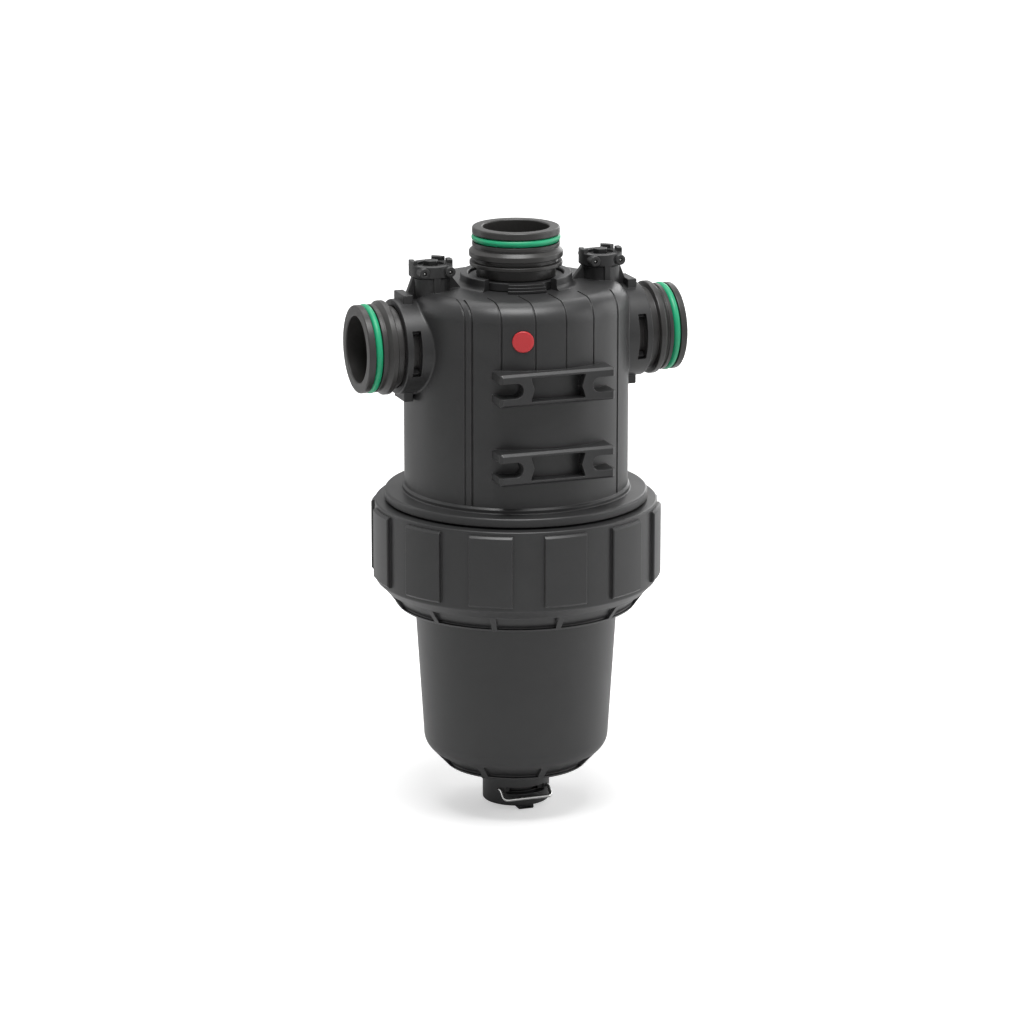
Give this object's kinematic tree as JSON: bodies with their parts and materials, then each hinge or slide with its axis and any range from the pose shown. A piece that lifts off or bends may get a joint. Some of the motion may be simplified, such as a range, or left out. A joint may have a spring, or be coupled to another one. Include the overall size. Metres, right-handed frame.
{
  "type": "mesh filter",
  "caption": "In-line mesh filter for liquid lines: head with clipped port nipples, gauge towers and bracket rails, ring nut, bowl with a clipped drain plug and a mesh screen inside.",
  "frame": {"origin": "centre of the top port's mouth, on its end face", "axes": "+Z out of the top port along the body's axis, X along the side ports, -Y towards the bracket rails"},
  "size_m": [0.2184, 0.1904, 0.3899],
  "materials": {
    "housing_plastic": "moulded dark grey plastic, fine matt grain",
    "nipple_plastic": "glass-filled dark grey plastic, turned look, slightly lighter",
    "clip_plastic": "moulded near-black plastic",
    "marker_plastic": "satin red plastic",
    "green_rubber": "smooth green rubber",
    "black_rubber": "smooth black rubber",
    "wire_steel": "bright drawn stainless wire",
    "screen_plastic": "moulded grey plastic",
    "mesh_steel": "woven stainless wire cloth"
  },
  "bodies": {
    "head": {"head": "housing_plastic", "left_clip": "clip_plastic", "right_clip": "clip_plastic", "top_clip": "clip_plastic", "mesh_marker": "marker_plastic"},
    "ring_nut": {"ring_nut": "housing_plastic"},
    "bowl": {"bowl": "housing_plastic", "bowl_seal": "black_rubber", "screen_top_cap": "screen_plastic", "screen_bottom_cap": "screen_plastic", "screen_cage": "screen_plastic", "mesh_screen": "mesh_steel", "screen_seal": "black_rubber"},
    "drain_plug": {"drain_plug": "clip_plastic", "drain_seal": "black_rubber"},
    "drain_clip": {"drain_clip": "wire_steel"},
    "left_nipple": {"left_nipple": "nipple_plastic", "left_outer_seal": "green_rubber", "left_inner_seal": "black_rubber"},
    "right_nipple": {"right_nipple": "nipple_plastic", "right_outer_seal": "green_rubber", "right_inner_seal": "black_rubber"},
    "top_nipple": {"top_nipple": "nipple_plastic", "top_outer_seal": "green_rubber", "top_inner_seal": "black_rubber"},
    "gauge_plug_left": {"gauge_plug_left": "clip_plastic", "gauge_seal_left": "black_rubber"},
    "gauge_clip_left": {"gauge_clip_left": "wire_steel"},
    "gauge_plug_right": {"gauge_plug_right": "clip_plastic", "gauge_seal_right": "black_rubber"},
    "gauge_clip_right": {"gauge_clip_right": "wire_steel"}
  },
  "joints": [
    {"name": "bowl_drop", "type": "slide", "parent": "head", "child": "bowl", "axis": [0, 0, -1], "range_m": [0, 0.0165]},
    {"name": "nut_turn", "type": "hinge", "parent": "bowl", "child": "ring_nut", "pos_m": [0, 0, -0.21], "axis": [0, 0, -1], "range_deg": [0, 720]},
    {"name": "left_nipple_swivel", "type": "hinge", "parent": "head", "child": "left_nipple", "pos_m": [-0.1092, 0, -0.0736], "axis": [-1, 0, 0], "continuous": true},
    {"name": "right_nipple_swivel", "type": "hinge", "parent": "head", "child": "right_nipple", "pos_m": [0.1092, 0, -0.0736], "axis": [1, 0, 0], "continuous": true},
    {"name": "top_nipple_swivel", "type": "hinge", "parent": "head", "child": "top_nipple", "pos_m": [0, 0, 0], "axis": [0, 0, 1], "continuous": true},
    {"name": "drain_plug_turn", "type": "hinge", "parent": "bowl", "child": "drain_plug", "pos_m": [0, 0, -0.38], "axis": [0, 0, -1], "continuous": true},
    {"name": "drain_clip_pull", "type": "slide", "parent": "bowl", "child": "drain_clip", "axis": [0, -1, 0], "range_m": [0, 0.034]},
    {"name": "gauge_plug_left_turn", "type": "hinge", "parent": "head", "child": "gauge_plug_left", "pos_m": [-0.0584, 0, -0.03], "axis": [0, 0, 1], "continuous": true},
    {"name": "gauge_clip_left_pull", "type": "slide", "parent": "head", "child": "gauge_clip_left", "axis": [0, 1, 0], "range_m": [0, 0.028]},
    {"name": "gauge_plug_right_turn", "type": "hinge", "parent": "head", "child": "gauge_plug_right", "pos_m": [0.0584, 0, -0.03], "axis": [0, 0, 1], "continuous": true},
    {"name": "gauge_clip_right_pull", "type": "slide", "parent": "head", "child": "gauge_clip_right", "axis": [0, 1, 0], "range_m": [0, 0.028]}
  ],
  "couplings": [
    {"joint": "bowl_drop", "follows": "nut_turn", "m_per_rad": 0.0012732}
  ]
}
